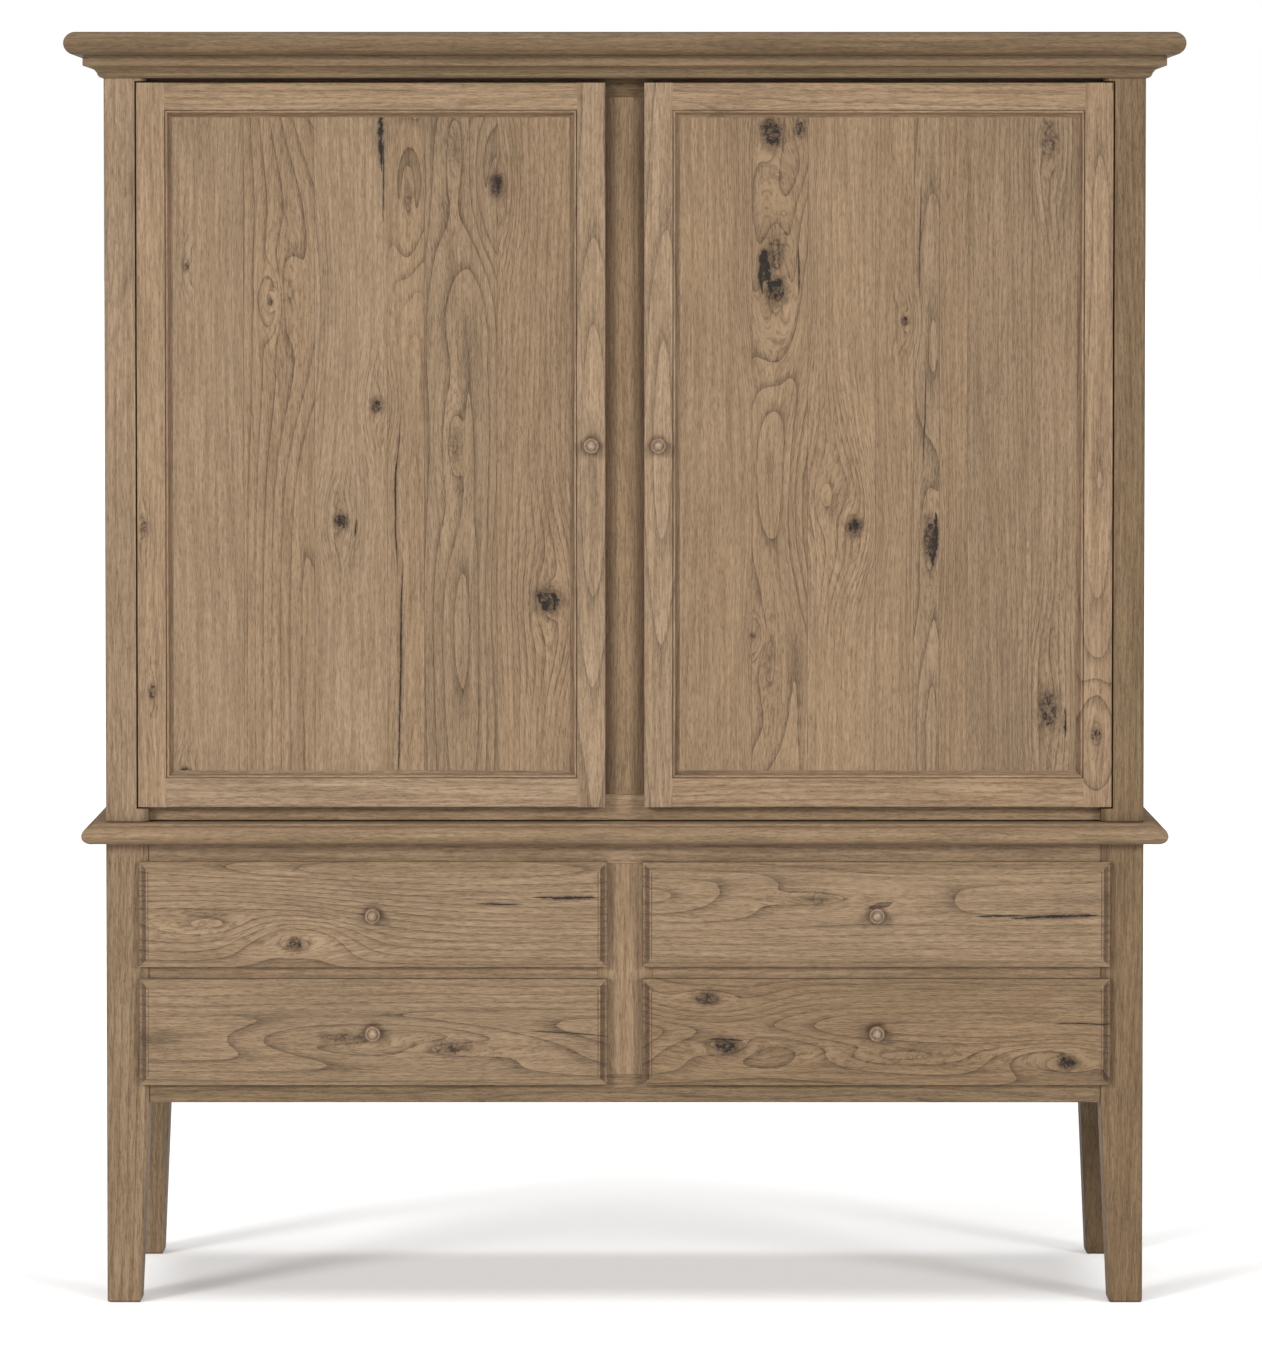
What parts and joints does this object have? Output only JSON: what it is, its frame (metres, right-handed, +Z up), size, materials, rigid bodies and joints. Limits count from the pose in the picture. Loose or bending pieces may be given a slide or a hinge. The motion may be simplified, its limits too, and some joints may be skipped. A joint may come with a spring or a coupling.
{
  "type": "armoire",
  "caption": "Oak armoire: double-door cupboard with moulded crown on a drawer base with tapered square legs; doors swing on concealed hinges and drawers slide on runners.",
  "frame": {"origin": "centre of the footprint on the floor: the middle of the bounding box's bottom", "axes": "+Z up, -Y out of the front with the doors, +X to the viewer's right"},
  "size_m": [1.776, 0.56, 2.032],
  "materials": {
    "oak_case": "weathered matt oil",
    "oak_knob": "matt oil",
    "oak_inside": "matt, unstained",
    "oak_back": "matt",
    "hinge_steel": "satin nickel",
    "bronze_fittings": "antique bronze"
  },
  "bodies": {
    "case": {"base_back": "oak_back", "base_bottom_rail": "oak_case", "base_floor": "oak_inside", "base_middle_rails": "oak_case", "base_mullion": "oak_case", "base_partition": "oak_inside", "base_side_left": "oak_case", "base_side_right": "oak_case", "base_top_rail": "oak_case", "case_bolts": "hinge_steel", "crown_cap": "oak_case", "crown_moulding": "oak_case", "drawer_kickers": "oak_inside", "drawer_runners": "oak_inside", "hanging_rail": "bronze_fittings", "hinge_arms": "hinge_steel", "hinge_plates": "hinge_steel", "leg_front_left": "oak_case", "leg_front_right": "oak_case", "leg_rear_left": "oak_case", "leg_rear_right": "oak_case", "rail_sockets": "bronze_fittings", "shelf_pins": "bronze_fittings", "shelves": "oak_inside", "upper_back": "oak_back", "upper_bottom_rail": "oak_case", "upper_floor": "oak_inside", "upper_mullion": "oak_case", "upper_partition": "oak_inside", "upper_post_front_left": "oak_case", "upper_post_front_right": "oak_case", "upper_rear_posts": "oak_case", "upper_roof": "oak_inside", "upper_side_left": "oak_case", "upper_side_rails": "oak_case", "upper_side_right": "oak_case", "upper_top_rail": "oak_case", "waist_top": "oak_case"},
    "left_door": {"left_door_stiles": "oak_case", "left_door_rails": "oak_case", "left_door_panel": "oak_case", "left_door_knob": "oak_knob", "left_door_hinge_cups": "hinge_steel"},
    "right_door": {"right_door_stiles": "oak_case", "right_door_rails": "oak_case", "right_door_panel": "oak_case", "right_door_knob": "oak_knob", "right_door_hinge_cups": "hinge_steel"},
    "upper_left_drawer": {"drawer_upper_left_front": "oak_case", "drawer_upper_left_box": "oak_inside", "drawer_upper_left_knob": "oak_knob"},
    "upper_right_drawer": {"drawer_upper_right_front": "oak_case", "drawer_upper_right_box": "oak_inside", "drawer_upper_right_knob": "oak_knob"},
    "lower_left_drawer": {"drawer_lower_left_front": "oak_case", "drawer_lower_left_box": "oak_inside", "drawer_lower_left_knob": "oak_knob"},
    "lower_right_drawer": {"drawer_lower_right_front": "oak_case", "drawer_lower_right_box": "oak_inside", "drawer_lower_right_knob": "oak_knob"}
  },
  "joints": [
    {"name": "left_door_hinge", "type": "hinge", "parent": "case", "child": "left_door", "pos_m": [-0.778, -0.222, 1.37475], "axis": [0, 0, -1], "range_deg": [0, 110]},
    {"name": "right_door_hinge", "type": "hinge", "parent": "case", "child": "right_door", "pos_m": [0.778, -0.222, 1.37475], "axis": [0, 0, 1], "range_deg": [0, 110]},
    {"name": "upper_left_drawer_slide", "type": "slide", "parent": "case", "child": "upper_left_drawer", "axis": [0, -1, 0], "range_m": [0, 0.33]},
    {"name": "upper_right_drawer_slide", "type": "slide", "parent": "case", "child": "upper_right_drawer", "axis": [0, -1, 0], "range_m": [0, 0.33]},
    {"name": "lower_left_drawer_slide", "type": "slide", "parent": "case", "child": "lower_left_drawer", "axis": [0, -1, 0], "range_m": [0, 0.33]},
    {"name": "lower_right_drawer_slide", "type": "slide", "parent": "case", "child": "lower_right_drawer", "axis": [0, -1, 0], "range_m": [0, 0.33]}
  ]
}
